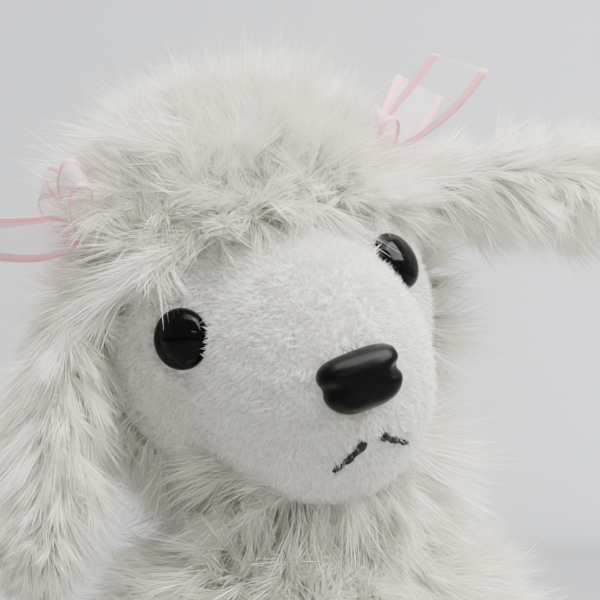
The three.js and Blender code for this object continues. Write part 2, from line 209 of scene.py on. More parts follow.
def add_floor(material):
    """A pale floor that curves up into a wall far behind the toy."""
    half, behind, bend, wall, steps = 6.0, 3.0, 1.5, 4.0, 16
    profile = [(-half, 0.0), (behind, 0.0)]
    for i in range(1, steps + 1):
        angle = math.pi / 2 * i / steps
        profile.append((behind + bend * math.sin(angle), bend * (1 - math.cos(angle))))
    profile.append((behind + bend, bend + wall))
    points = [(side * half, y, z) for y, z in profile for side in (-1, 1)]
    quads = [(2 * i, 2 * i + 1, 2 * i + 3, 2 * i + 2) for i in range(len(profile) - 1)]
    data = bpy.data.meshes.new("floor")
    data.from_pydata(points, [], quads)
    data.materials.append(material)
    data.shade_smooth()
    floor = bpy.data.objects.new("floor", data)
    bpy.context.collection.objects.link(floor)


def add_wall_wash():
    """A lamp low on the right that lights the far wall behind the toy."""
    wash = bpy.data.lights.new("wall_wash", "AREA")
    wash.size, wash.energy = 1.2, 34
    lamp = bpy.data.objects.new("wall_wash", wash)
    lamp.location = (2.2, 2.6, 1.2)
    lamp.rotation_euler = (math.radians(80), 0, math.radians(-10))
    bpy.context.collection.objects.link(lamp)


# ---- Materials -----------------------------------------------------------------------------------


SOCKETS = {
    "ior": "IOR",
    "alpha": "Alpha",
    "sheen_weight": "Sheen Weight",
    "sheen_roughness": "Sheen Roughness",
    "transmission": "Transmission Weight",
}


def new_material(name, colour, roughness, **sockets):
    """A material of one principled shader, with its node tree and that shader."""
    made = bpy.data.materials.new(name)
    made.use_nodes = True
    shader = made.node_tree.nodes["Principled BSDF"]
    shader.inputs["Base Color"].default_value = (*colour, 1)
    shader.inputs["Roughness"].default_value = roughness
    for socket, value in sockets.items():
        shader.inputs[SOCKETS[socket]].default_value = value
    return made, made.node_tree, shader


def add_noise(tree, scale, detail=3.0):
    """A noise texture in object space, at so many waves a metre."""
    where = tree.nodes.new("ShaderNodeTexCoord")
    noise = tree.nodes.new("ShaderNodeTexNoise")
    noise.inputs["Scale"].default_value = scale
    noise.inputs["Detail"].default_value = detail
    tree.links.new(where.outputs["Object"], noise.inputs["Vector"])
    return noise.outputs["Fac"]


def add_ramp(tree, value, stops):
    """A colour ramp of (position, colour) stops."""
    ramp = tree.nodes.new("ShaderNodeValToRGB")
    elements = ramp.color_ramp.elements
    for i, (position, colour) in enumerate(stops):
        stop = elements[i] if i < 2 else elements.new(position)
        stop.position, stop.color = position, (*colour, 1)
    tree.links.new(value, ramp.inputs["Fac"])
    return ramp.outputs["Color"]


def add_bump(tree, shader, value, strength, distance):
    bump = tree.nodes.new("ShaderNodeBump")
    bump.inputs["Strength"].default_value = strength
    bump.inputs["Distance"].default_value = distance
    tree.links.new(value, bump.inputs["Height"])
    tree.links.new(bump.outputs["Normal"], shader.inputs["Normal"])


def mottled(name, low, high, roughness, scale, bump=0.3, depth=0.0004, **sockets):
    """A fabric-like finish between two colours, with a fine relief."""
    made, tree, shader = new_material(name, high, roughness, **sockets)
    colour = add_ramp(tree, add_noise(tree, scale), [(0.3, low), (0.7, high)])
    tree.links.new(colour, shader.inputs["Base Color"])
    add_bump(tree, shader, add_noise(tree, scale * 9), bump, depth)
    return made


def studio_floor():
    """A floor with painted shade: mid grey under the toy and pale towards the wall far behind."""
    made, tree, shader = new_material("studio_floor", (0.8, 0.82, 0.85), 0.9)
    where = tree.nodes.new("ShaderNodeTexCoord")
    apart = tree.nodes.new("ShaderNodeSeparateXYZ")
    far = tree.nodes.new("ShaderNodeMapRange")
    far.inputs["From Min"].default_value, far.inputs["From Max"].default_value = 0.2, 2.2
    tree.links.new(where.outputs["Object"], apart.inputs["Vector"])
    tree.links.new(apart.outputs["Y"], far.inputs["Value"])
    # painted shade: the floor is darkened under the toy, which also dims the light it throws back up onto
    # the toy
    floor_shade_colour, far_colour = (0.26, 0.26, 0.26), (0.86, 0.88, 0.92)
    colour = add_ramp(tree, far.outputs["Result"], [(0.0, floor_shade_colour), (1.0, far_colour)])
    tree.links.new(colour, shader.inputs["Base Color"])
    return made


def strand_finish(name, colour):
    made, _, _ = new_material(name, colour, 0.75, sheen_weight=0.25, sheen_roughness=0.4)
    return made


floor_finish = studio_floor()
long_pile_base = mottled("long_pile_backing", (0.80, 0.76, 0.67), (0.88, 0.86, 0.79), 0.95, 220)
short_pile_base = mottled("short_pile_backing", (0.80, 0.79, 0.74), (0.90, 0.89, 0.86), 0.95, 160)
fill_finish = mottled("polyester_fill", (0.86, 0.86, 0.86), (0.95, 0.95, 0.94), 1.0, 90, 0.8, 0.002)
washer_finish = mottled("washer_plastic", (0.74, 0.74, 0.71), (0.8, 0.8, 0.77), 0.45, 300, 0.1)
eye_plastic = mottled(
    "eye_plastic", (0.0006, 0.0006, 0.0008), (0.0012, 0.0012, 0.0015), 0.07, 700, 0.03, 0.0001, ior=1.2,
)
nose_plastic = mottled(
    "nose_plastic", (0.0008, 0.0008, 0.001), (0.0016, 0.0016, 0.002), 0.3, 500, 0.15, 0.0001, ior=1.2,
)
black_thread = mottled("black_thread", (0.006, 0.006, 0.009), (0.03, 0.03, 0.04), 0.8, 2500, 0.8)
long_strands = [
    strand_finish("long_pile_warm", (0.94, 0.915, 0.82)),
    strand_finish("long_pile_white", (0.96, 0.95, 0.88)),
    strand_finish("long_pile_cream", (0.925, 0.89, 0.77)),
]
short_strands = [
    strand_finish("short_pile_warm", (0.94, 0.93, 0.87)),
    strand_finish("short_pile_white", (0.955, 0.95, 0.91)),
    strand_finish("short_pile_cream", (0.925, 0.905, 0.835)),
]
satin = mottled("pink_satin", (0.86, 0.36, 0.42), (0.93, 0.46, 0.51), 0.38, 1800, 0.4, 0.0001)
organza = mottled("sheer_organza", (0.90, 0.80, 0.81), (0.97, 0.91, 0.91), 0.5, 2600, 0.5, 0.0001, alpha=0.2)

# ---- Surfaces ------------------------------------------------------------------------------------


def dot(a, b):
    return np.sum(a * b, axis=-1)


class Surface:
    """Points joined by triangles that face outwards."""

    def __init__(self, points, triangles):
        self.points = np.asarray(points, float)
        self.triangles = np.asarray(triangles, int)
        a, b, c = (self.points[self.triangles[:, i]] for i in range(3))
        facing = np.cross(b - a, c - a)
        self.areas = np.linalg.norm(facing, axis=1) / 2
        total = np.zeros_like(self.points)
        for i in range(3):
            np.add.at(total, self.triangles[:, i], facing)
        self.normals = unit(total)

    def middles(self):
        return self.points[self.triangles].mean(axis=1)

    def only(self, kept):
        """The part of the surface whose triangles are kept, without the spare points."""
        used, triangles = np.unique(self.triangles[kept], return_inverse=True)
        return Surface(self.points[used], triangles.reshape(-1, 3))

    def cut(self, *planes):
        """The same surface, with edges along each plane (point, normal)."""
        mesh = bmesh.new()
        corners = [mesh.verts.new(p) for p in self.points]
        for a, b, c in self.triangles:
            mesh.faces.new((corners[a], corners[b], corners[c]))
        for point, normal in planes:
            everything = mesh.verts[:] + mesh.edges[:] + mesh.faces[:]
            bmesh.ops.bisect_plane(mesh, geom=everything, plane_co=point, plane_no=normal)
        bmesh.ops.triangulate(mesh, faces=mesh.faces[:])
        mesh.verts.index_update()
        points = [v.co[:] for v in mesh.verts]
        triangles = [[v.index for v in face.verts] for face in mesh.faces]
        mesh.free()
        return Surface(points, triangles)

    def scatter(self, density, rng):
        """Random points at so many a square millimetre, with the surface's normals there."""
        wanted = self.areas * density
        counts = np.floor(wanted + rng.random(len(wanted))).astype(int)
        chosen = np.repeat(np.arange(len(counts)), counts)
        u, v = rng.random((2, len(chosen)))
        folded = u + v > 1
        u[folded], v[folded] = 1 - u[folded], 1 - v[folded]
        weights = np.stack([1 - u - v, u, v], axis=1)[:, :, None]
        corners = self.triangles[chosen]
        points = (self.points[corners] * weights).sum(axis=1)
        return points, unit((self.normals[corners] * weights).sum(axis=1))

    def placed(self, place):
        return Surface(place.point(self.points), self.triangles)


def joined(*surfaces):
    """Several surfaces as one."""
    offsets = np.cumsum([0] + [len(s.points) for s in surfaces[:-1]])
    triangles = [s.triangles + offset for s, offset in zip(surfaces, offsets)]
    return Surface(np.concatenate([s.points for s in surfaces]), np.concatenate(triangles))


def grid(rows, columns, around=False):
    """The triangles of a grid of points, closed around its columns if asked."""
    row, column = np.meshgrid(np.arange(rows - 1), np.arange(columns - (not around)), indexing="ij")
    row, column = row.ravel(), column.ravel()
    following = (column + 1) % columns
    a, b = row * columns + column, row * columns + following
    c, d = a + columns, b + columns
    return np.concatenate([np.stack([a, b, d], 1), np.stack([a, d, c], 1)])


def ball(steps):
    """The directions of a ball made of six patches of steps by steps squares, and its triangles."""
    line = np.tan(np.linspace(-1, 1, steps + 1) * math.pi / 4)
    u, v = (side.ravel() for side in np.meshgrid(line, line, indexing="ij"))
    points, triangles = [], []
    for axis in range(3):
        for sign in (-1, 1):
            patch = np.empty((len(u), 3))
            patch[:, axis] = sign
            patch[:, (axis + 1) % 3], patch[:, (axis + 2) % 3] = (u, v) if sign < 0 else (v, u)
            triangles.append(grid(steps + 1, steps + 1) + len(points) * len(u))
            points.append(unit(patch))
    merged, index = np.unique(np.concatenate(points).round(6), axis=0, return_inverse=True)
    return unit(merged), index.reshape(-1)[np.concatenate(triangles)]


def lobe_radius(directions, lobes):
    """How far a stuffed shape of several lobes reaches in each direction."""
    total = 0
    for centre, semi in lobes:
        centre, semi = np.array(centre, float), np.array(semi, float)
        a = dot(directions / semi, directions / semi)
        b = dot(directions / semi, centre / semi)
        c = dot(centre / semi, centre / semi) - 1
        total = total + np.exp(BLEND * (b + np.sqrt(b * b - a * c)) / a)
    return np.log(total) / BLEND


def stuffed(lobes, steps):
    directions, triangles = ball(steps)
    return Surface(directions * lobe_radius(directions, lobes)[:, None], triangles)


def egg(semi, centre, steps):
    directions, triangles = ball(steps)
    return Surface(directions * np.array(semi) + np.array(centre), triangles)


def link_mesh(name, points, loops, starts, materials, choice=None, smooth=True):
    """A mesh object from millimetre points and faces given as corner loops."""
    data = bpy.data.meshes.new(name)
    data.vertices.add(len(points))
    data.vertices.foreach_set("co", (np.asarray(points) * MM).astype(np.float32).ravel())
    data.loops.add(len(loops))
    data.loops.foreach_set("vertex_index", loops.astype(np.int32))
    data.polygons.add(len(starts))
    data.polygons.foreach_set("loop_start", starts.astype(np.int32))
    for material in materials:
        data.materials.append(material)
    if choice is not None:
        data.polygons.foreach_set("material_index", choice.astype(np.int32))
    data.update(calc_edges=True)
    if smooth:
        data.shade_smooth()
    made = bpy.data.objects.new(name, data)
    bpy.context.collection.objects.link(made)
    return made


def settle(made, body, replaced=()):
    """Puts a finished piece on its body and the CAD nodes it stands for."""
    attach(made, body)
    if replaced:
        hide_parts(*replaced)
    return made


def skin(name, surface, body, material, replaced=(), thickness=1.2):
    """A fabric skin: a thin shell whose outside is the surface."""
    loops = surface.triangles.ravel()
    starts = np.arange(len(surface.triangles)) * 3
    made = link_mesh(name, surface.points, loops, starts, [material])
    if thickness:
        shell = made.modifiers.new("fabric", "SOLIDIFY")
        shell.thickness, shell.offset = thickness * MM, -1
    settle(made, body, replaced)
    return made


# ---- Pile ----------------------------------------------------------------------------------------


def drift(points, wavelength, seed, waves=10):
    """Smooth random vectors over space: sine waves in random directions, of about one wavelength."""
    rng = np.random.default_rng(seed)
    total = np.zeros_like(points)
    for _ in range(waves):
        wave = unit(rng.normal(size=3)) * (2 * math.pi / wavelength) * rng.uniform(0.7, 1.5)
        total += np.sin(points @ wave + rng.uniform(0, 2 * math.pi))[:, None] * rng.normal(size=3)
    return total / math.sqrt(waves)


MOST_TRIANGLES = 190_000  # in one piece of pile
FLOOR_CLEARANCE = 0.4


class Pile:
    """How a pile fabric's strands stand, as lengths in millimetres and shares of the length."""

    def __init__(self, locks, each, length, width, **more):
        self.locks = locks  # a square millimetre
        self.each = each  # strands in a lock
        self.length = length
        self.width = width
        self.steps = 4  # straight stretches in a strand
        self.spread = 0.55 / math.sqrt(locks)  # radius of a lock at its root
        self.gather = 0.75  # how far a lock's tips come together
        self.tousle = 0.35  # slow drift of the direction over the fabric
        self.wavelength = 14
        self.stray = 0.14  # lock to lock
        self.frizz = 0.07  # strand to strand
        self.curl = 0.22
        self.droop = 0.1
        self.uneven = 0.22
        self.least_rise = 0.12  # the least that a strand leaves the fabric
        self.finish = long_strands
        for key, value in more.items():
            setattr(self, key, value)


def strand_mesh(name, paths, aside, widths, materials, choice):
    """Flat tapering strands along paths (strand, step, 3) as one mesh."""
    count, points, _ = paths.shape
    steps = points - 1
    edge = aside[:, None, :] * widths[:, :-1, None] / 2
    corners = np.empty((count, 2 * steps + 1, 3))
    corners[:, 0:-1:2] = paths[:, :-1] - edge
    corners[:, 1:-1:2] = paths[:, :-1] + edge
    corners[:, -1] = paths[:, -1]
    first = np.arange(count)[:, None] * (2 * steps + 1)
    step = 2 * np.arange(steps - 1)[None, :]
    quads = np.stack([first + step, first + step + 1, first + step + 3, first + step + 2], axis=-1)
    tips = np.concatenate([first + 2 * steps - 2, first + 2 * steps - 1, first + 2 * steps], axis=1)
    quad_count = count * (steps - 1)
    loops = np.concatenate([quads.ravel(), tips.ravel()])
    starts = np.concatenate([np.arange(quad_count) * 4, quad_count * 4 + np.arange(count) * 3])
    picks = np.concatenate([np.repeat(choice, steps - 1), choice])
    return link_mesh(name, corners.reshape(-1, 3), loops, starts, materials, picks)


def fur(name, surface, pile, lay, body, seed, keep=None, reach=None):
    """Grows pile on a surface, in pieces side by side. lay gives each lock's
    direction, keep says which roots grow, and reach scales their length."""
    rng = np.random.default_rng(seed)
    root, normal = surface.scatter(pile.locks, rng)
    if keep is not None:
        kept = keep(root)
        root, normal = root[kept], normal[kept]
    locks, each = len(root), pile.each
    heading = unit(lay(root, normal))
    heading = heading + pile.tousle * drift(root, pile.wavelength, seed)
    heading = unit(heading + pile.stray * rng.normal(size=(locks, 3)))
    shortfall = np.maximum(pile.least_rise - dot(heading, normal), 0)
    heading = unit(heading + shortfall[:, None] * normal * 1.3)
    length = pile.length * rng.uniform(1 - pile.uneven, 1 + pile.uneven, locks)
    if reach is not None:
        length = length * reach(root)
    bend = pile.curl * drift(root, pile.wavelength / 2, seed + 1)
    bend = bend + pile.curl * 0.5 * rng.normal(size=(locks, 3)) - pile.droop * UP
    along = unit(np.cross(heading, rng.normal(size=(locks, 3))))
    across = np.cross(heading, along)
    angle = rng.uniform(0, 2 * math.pi, (locks, each, 1))
    out = pile.spread * np.sqrt(rng.random((locks, each, 1)))
    offset = out * (np.cos(angle) * along[:, None] + np.sin(angle) * across[:, None])
    offset -= dot(offset, normal[:, None])[..., None] * normal[:, None]
    own = rng.uniform(0.72, 1.08, (locks, each, 1, 1))
    t = np.linspace(0, 1, pile.steps + 1)[None, None, :, None]
    at = t * own
    path = length[:, None, None, None] * (at * heading[:, None, None] + at**2 * bend[:, None, None])
    wisp = rng.normal(size=(locks, each, 1, 3)) * pile.frizz * length[:, None, None, None]
    path = path + wisp * t**1.5 + offset[:, :, None] * (1 - pile.gather * t)
    path = (path + root[:, None, None]).reshape(locks * each, pile.steps + 1, 3)
    path[..., 2] = np.maximum(path[..., 2], FLOOR_CLEARANCE)
    aside = unit(np.cross(path[:, -1] - path[:, 0], rng.normal(size=(locks * each, 3))))
    taper = (1 - t[0, 0, :, 0] ** 2) ** 0.7
    widths = pile.width * taper[None] * rng.uniform(0.7, 1.3, (locks * each, 1))
    choice = np.repeat(rng.integers(0, len(pile.finish), locks), each)
    order = np.repeat(np.argsort(np.argsort(root[:, 0])), each)
    parts = math.ceil(locks * each * (2 * pile.steps - 1) / MOST_TRIANGLES)
    for part in range(parts):
        here = (order * parts) // locks == part
        label = f"{name}_{part + 1}" if parts > 1 else name
        made = strand_mesh(label, path[here], aside[here], widths[here], pile.finish, choice[here])
        settle(made, body)
    print(f"pile {name}: {locks * each} strands, {locks * each * (2 * pile.steps - 1)} triangles")


CROWN = Pile(
    locks=0.62, each=28, length=14, width=0.14, gather=0.38, tousle=0.42, curl=0.3, frizz=0.12,
)
NAPE = Pile(locks=0.28, each=16, length=13, width=0.22, gather=0.55, steps=3)
EAR = Pile(locks=0.42, each=30, length=13, width=0.14, gather=0.58, tousle=0.32, frizz=0.09)
SHORT = Pile(
    locks=4.5, each=6, length=1.7, width=0.12, steps=2, gather=0.25, tousle=0.3, wavelength=9,
    stray=0.3, frizz=0.12, curl=0.15, droop=0.0, least_rise=0.35, finish=short_strands,
)
LASHES = Pile(
    locks=2.4, each=5, length=3.1, width=0.14, steps=3, gather=0.5, tousle=0.2, wavelength=5,
    stray=0.22, frizz=0.1, curl=0.15, droop=0.0, least_rise=0.3, finish=short_strands,
)

# ---- Head ----------------------------------------------------------------------------------------


def face_point(place):
    """The point of the head in a direction from the middle of the skull, and its normal there."""
    forward = unit(place)
    across = unit(np.cross(UP, forward))
    above = np.cross(forward, across)
    step = 0.02
    beside = unit([forward, forward + step * across, forward + step * above])
    point, aside, higher = beside * lobe_radius(beside, HEAD_LOBES)[:, None]
    return point, unit(np.cross(aside - point, higher - point))


def looking(place, lift=0.0):
    """The place of a fitting on the face that looks along its own +Z, its top towards +Y."""
    point, normal = face_point(place)
    across = unit(np.cross(UP, normal))
    axes = np.stack([across, np.cross(normal, across), normal], axis=1)
    return Place(HEAD.point(point + lift * normal), HEAD.axes @ axes)


EYES = {
    side: looking([sign * EYE_PLACE[0], *EYE_PLACE[1:]], EYE_LIFT)
    for side, sign in SIDES.items()
}
NOSE = looking(NOSE_PLACE, NOSE_LIFT)


def away_from_fittings(points):
    """True where no eye or nose covers the face."""
    clear = np.ones(len(points), bool)
    for place in EYES.values():
        local = place.local(points)
        apart = np.hypot(local[:, 0], local[:, 1]) > EYE_RADIUS + EYE_CLEARING
        clear &= apart | (local[:, 2] < -EYE_DEPTH)
    local = NOSE.local(points)
    return clear & ((local[:, 0] / NOSE_SEMI[0]) ** 2 + (local[:, 1] / NOSE_SEMI[1]) ** 2 > 0.85)


def seam_height(x):
    """The forehead seam of the face, above the middle of the skull, falling towards the ears."""
    return FACE_TOP + 1.5 - 9 * np.abs(x / 32) ** 3


def on_face(points):
    local = HEAD.local(points)
    return (local[:, 2] < seam_height(local[:, 0])) & (local[:, 1] < FACE_BACK)


def on_cap(points):
    local = HEAD.local(points)
    lowest = seam_height(local[:, 0]) - 1.5
    return (local[:, 2] > lowest) | (local[:, 1] > FACE_BACK)


def short_lay(points, normals):
    """Short pile leans down and back over the head."""
    return normals + 0.5 * HEAD.direction([0, 0.6, -0.8])


def crown_lay(points, normals):
    """Long pile stands up on the crown, leans over the forehead seam, and turns down behind."""
    local = HEAD.local(points)
    height = np.clip(local[:, 2:] / 30, -1, 1)
    brow = np.clip(1 - (local[:, 2:] - FACE_TOP) / 7, 0, 1) * (local[:, 1:2] < FACE_BACK)
    upright = (0.45 + 0.45 * height) * (1 - 1.2 * brow)
    return normals + upright * HEAD.direction([0, 0, 1]) - 0.35 * (1 - height) * UP - 0.25 * brow * UP


def below_seams(points):
    return (points[:, 2] < FACE_TOP) & (points[:, 1] < FACE_BACK)


def crown_growth(points):
    """How many times as far from the middle of the skull the fluffed crown is."""
    rise = CROWN_RISE * np.clip((points[:, 2:] - FACE_TOP) / 10, 0, 1) ** 0.8
    return 1 + rise / np.linalg.norm(points, axis=1, keepdims=True)


def make_head():
    seams = ((0, 0, FACE_TOP), (0, 0, 1)), ((0, FACE_BACK, 0), (0, 1, 0))
    whole = stuffed(HEAD_LOBES, 36)
    crown = Surface(whole.points * crown_growth(whole.points), whole.triangles).cut(*seams)
    whole = whole.cut(*seams)
    face = whole.only(below_seams(whole.middles())).placed(HEAD)
    cap = crown.only(~below_seams(crown.middles())).placed(HEAD)
    whole, crown = whole.placed(HEAD), crown.placed(HEAD)
    skin("face_skin", face, "head", short_pile_base, ["face_panel"])
    skin("topknot_skin", cap, "head", long_pile_base, ["topknot_cap"])
    fuzz_parts = {
        "brow": lambda local: local[:, 2] > 2,
        "muzzle": lambda local: local[:, 2] <= 2,
    }
    for i, (part, chosen) in enumerate(fuzz_parts.items()):
        fur(
            f"face_pile_{part}", whole, SHORT, short_lay, "head", 11 + i,
            keep=lambda p, chosen=chosen: on_face(p) & away_from_fittings(p) & chosen(HEAD.local(p)),
        )
    fur(
        "topknot_pile", crown, CROWN, crown_lay, "head", 21,
        keep=lambda p: on_cap(p) & (HEAD.local(p)[:, 1] < NAPE_START),
    )
    fur(
        "nape_pile", crown, NAPE, crown_lay, "head", 22,
        keep=lambda p: on_cap(p) & (HEAD.local(p)[:, 1] >= NAPE_START),
    )
    for i, side in enumerate(SIDES):
        eye = EYES[side]

        def round_the_eye(points, eye=eye):
            out = np.linalg.norm(eye.local(points)[:, :2], axis=1)
            return (out > EYE_RADIUS + LASH_BAND[0]) & (out < EYE_RADIUS + LASH_BAND[1])

        def over_the_rim(points, normals, eye=eye):
            local = eye.local(points)
            inwards = -unit(local * [1, 1, 0])
            lean = np.where(local[:, 1:2] > LASH_TOP, 0.9, -0.1)
            return normals + eye.direction(inwards * lean)

        fur(
            f"{side}_eye_lashes", whole, LASHES, over_the_rim, "head", 25 + i,
            keep=round_the_eye, reach=lambda p, eye=eye: 0.62 + 0.38 * (eye.local(p)[:, 1] > LASH_TOP),
        )


def turned(profile, around):
    """A surface turned about +Z from (radius, height) points that start and end on the axis."""
    profile = np.array(profile, float)
    angle = np.linspace(0, 2 * math.pi, around, endpoint=False)
    rings = profile[1:-1]
    points = np.stack([
        rings[:, :1] * np.cos(angle), rings[:, :1] * np.sin(angle), np.repeat(rings[:, 1:], around, 1),
    ], axis=-1).reshape(-1, 3)
    body = grid(len(rings), around, around=True)
    first, last = len(points), len(points) + 1
    ring = np.arange(around)
    following = (ring + 1) % around
    base = (len(rings) - 1) * around
    start = np.stack([following, ring, np.full(around, first)], axis=1)
    end = np.stack([base + ring, base + following, np.full(around, last)], axis=1)
    poles = [[0, 0, profile[0, 1]], [0, 0, profile[-1, 1]]]
    return Surface(np.concatenate([points, poles]), np.concatenate([body, start, end]))


def make_eye(side):
    """A domed eye with a soft edge, on its shank."""
    profile = [(0, -9), (1.6, -9), (1.6, -0.2), (EYE_RADIUS - 0.3, -0.2), (EYE_RADIUS, 0.1)]
    for angle in np.linspace(0, math.pi / 2, 14)[:-1]:
        profile.append((EYE_RADIUS * math.cos(angle), EYE_RIM + EYE_DOME * math.sin(angle)))
    profile.append((0, EYE_RIM + EYE_DOME))
    shape = turned(profile, 48).placed(EYES[side])
    skin(f"{side}_eye_dome", shape, "head", eye_plastic, [f"{side}_eye"], thickness=0)


def make_nose():
    """A rounded nose, wider at the top, with a notched nostril at each end."""
    directions, triangles = ball(30)
    square = 0.64
    swell = np.sign(directions) * np.abs(directions) ** square
    x = swell[:, 0] * NOSE_SEMI[0] * (1 + 0.15 * directions[:, 1])
    y = swell[:, 1] * NOSE_SEMI[1]
    z = np.maximum(directions[:, 2], -0.25) * NOSE_SEMI[2]
    points = np.stack([x, y, z], axis=1)
    for side in (-1, 1):
        nostril = np.exp(-(((x - side * 7.6) / 2.6) ** 2 + ((y - 0.4) / 1.25) ** 2))
        points[:, 0] -= side * 0.9 * nostril
        points[:, 2] -= 0.8 * nostril
    groove = np.exp(-((x / 0.9) ** 2)) * np.clip(-y / 5, 0, 1)
    points[:, 2] -= 0.2 * groove
    shape = Surface(points, triangles).placed(NOSE)
    skin("nose_pad", shape, "head", nose_plastic, ["nose"], thickness=0)


def muzzle_point(x, z):
    """The point of the head above a place on the front of the muzzle."""
    flat = (x / MUZZLE_SEMI[0]) ** 2 + ((z - MUZZLE_CENTRE[2]) / MUZZLE_SEMI[2]) ** 2
    return face_point([x, MUZZLE_CENTRE[1] - MUZZLE_SEMI[1] * math.sqrt(1 - flat), z])


def tube(path, radii, sides=8):
    """A closed tube along a path, with a radius at each point."""
    path, radii = np.asarray(path, float), np.asarray(radii, float)
    tangent = unit(np.gradient(path, axis=0))
    first = unit(np.cross(tangent, UP + 0.01))
    second = np.cross(tangent, first)
    angle = np.linspace(0, 2 * math.pi, sides, endpoint=False)
    ring = np.cos(angle)[None, :, None] * first[:, None] + np.sin(angle)[None, :, None] * second[:, None]
    points = (path[:, None] + radii[:, None, None] * ring).reshape(-1, 3)
    body = grid(len(path), sides, around=True)[:, ::-1]
    index = np.arange(sides)
    following = (index + 1) % sides
    base = (len(path) - 1) * sides
    ends = [
        np.stack([index, following, np.full(sides, len(points))], axis=1)[:, ::-1],
        np.stack([base + index, base + following, np.full(sides, len(points) + 1)], axis=1),
    ]
    points = np.concatenate([points, path[:1], path[-1:]])
    shape = Surface(points, np.concatenate([body, *ends]))
    outward = dot(shape.normals[: len(path) * sides].reshape(-1, sides, 3), ring).mean()
    return shape if outward > 0 else Surface(points, shape.triangles[:, ::-1])


def make_mouth(side):
    """One stitch of the mouth: three twisted yarns, fuller at the middle of the face."""
    sign = SIDES[side]
    rng = np.random.default_rng(5 + sign)
    part = np.linspace(0, 1, 26)
    path, normals = [], []
    for p in part:
        x = sign * np.interp(p, [0, 1], MOUTH_SPAN)
        point, normal = muzzle_point(x, MOUTH_TOP - MOUTH_DROP * p**0.8)
        path.append(point + 1.0 * normal)
        normals.append(normal)
    path, normals = np.array(path), np.array(normals)
    aside = np.cross(normals, unit(np.gradient(path, axis=0)))
    fullness = 1.0 - 0.42 * part + 0.18 * np.sin(part * 17 + sign)
    yarns = []
    for k in range(3):
        angle = part * 9 + k * 2 * math.pi / 3
        swing = np.cos(angle)[:, None] * aside + np.sin(angle)[:, None] * normals
        yarns.append(tube(path + swing * 0.42 * fullness[:, None], 0.5 * fullness, 7))
    for _ in range(9):
        start = int(rng.integers(0, len(part)))
        direction = unit(rng.normal(size=3) + normals[start])
        stretch = np.linspace(0, 1, 5)[:, None] * rng.uniform(0.8, 1.8)
        hair = path[start] + direction * stretch + 0.25 * rng.normal(size=(5, 3)) * stretch
        yarns.append(tube(hair, np.linspace(0.11, 0.03, 5), 4))
    shape = joined(*yarns).placed(HEAD)
    node = f"mouth_stitch_{side}"
    skin(f"mouth_thread_{side}", shape, "head", black_thread, [node], thickness=0)


# ---- Ears ----------------------------------------------------------------------------------------


def ear_place(side):
    sign = SIDES[side]
    return Place(
        JOINT_AT[f"{side}_ear_lift"], HEAD_TURN @ turn((0, 1, 0), -sign * EAR_ANGLE[side])
    )


def make_ear(side):
    """A flat padded ear of two fabrics, with long pile that runs to its tip."""
    sign = SIDES[side]
    place = ear_place(side)
    directions, triangles = ball(22)
    swell = 0.8 - 0.2 * directions[:, 2]
    points = np.stack([
        directions[:, 0] * EAR_THICKNESS / 2 * swell,
        directions[:, 1] * EAR_WIDTH / 2 * swell,
        EAR_RISE + (directions[:, 2] - 1) * EAR_LENGTH / 2,
    ], axis=1)
    whole = Surface(points, triangles).cut(((0, 0, 0), (1, 0, 0)))
    outside = whole.middles()[:, 0] * sign > 0
    whole = whole.placed(place)

    def lay(points, normals):
        local = place.local(points)
        outwards = np.stack([0 * local[:, 0], local[:, 1] / EAR_WIDTH, 0 * local[:, 0]], axis=1)
        return 0.55 * normals + place.direction(outwards + [0, 0, -1.0]) - 0.15 * UP

    def reach(points):
        """The pile is clipped shorter towards the tip."""
        return 1 - 0.6 * np.clip((-place.local(points)[:, 2] / EAR_LENGTH - 0.6) / 0.35, 0, 1)

    for part, chosen in (("outer", outside), ("inner", ~outside)):
        half = whole.only(chosen)
        node = f"{side}_ear_{part}"
        skin(f"{node}_skin", half, f"{side}_ear", long_pile_base, [node])
        seed = 31 + sign + 4 * (part == "inner")
        fur(f"{node}_pile", half, EAR, lay, f"{side}_ear", seed, reach=reach)


# ---- Bows ----------------------------------------------------------------------------------------


def ribbon_strip(path, sideways, ends=(0.0, 0.0), gathers=(1.0, 1.0)):
    """A strip of ribbon along a path. Each end is cut aslant by so many millimetres, and
    gathered in small pleats to a share of the ribbon's width."""
    path, sideways = np.asarray(path, float), unit(sideways)
    along = unit(np.gradient(path, axis=0))
    facing = unit(np.cross(along, sideways))
    part = np.linspace(0, 1, len(path))[:, None]
    u = np.linspace(-0.5, 0.5, RIBBON_COLUMNS + 1)[None, :]
    gather = 1 - (1 - gathers[0]) * (1 - part) ** 2 - (1 - gathers[1]) * part**2
    pleat = 1.1 * (1 - gather) * np.sin(u * 6 * math.pi)
    slant = u * (ends[0] * (1 - part) + ends[1] * part**3)
    points = path[:, None] + (u * RIBBON * gather)[..., None] * sideways[:, None]
    points = points + pleat[..., None] * facing[:, None] + slant[..., None] * along[:, None]
    return Surface(points.reshape(-1, 3), grid(len(path), RIBBON_COLUMNS + 1))


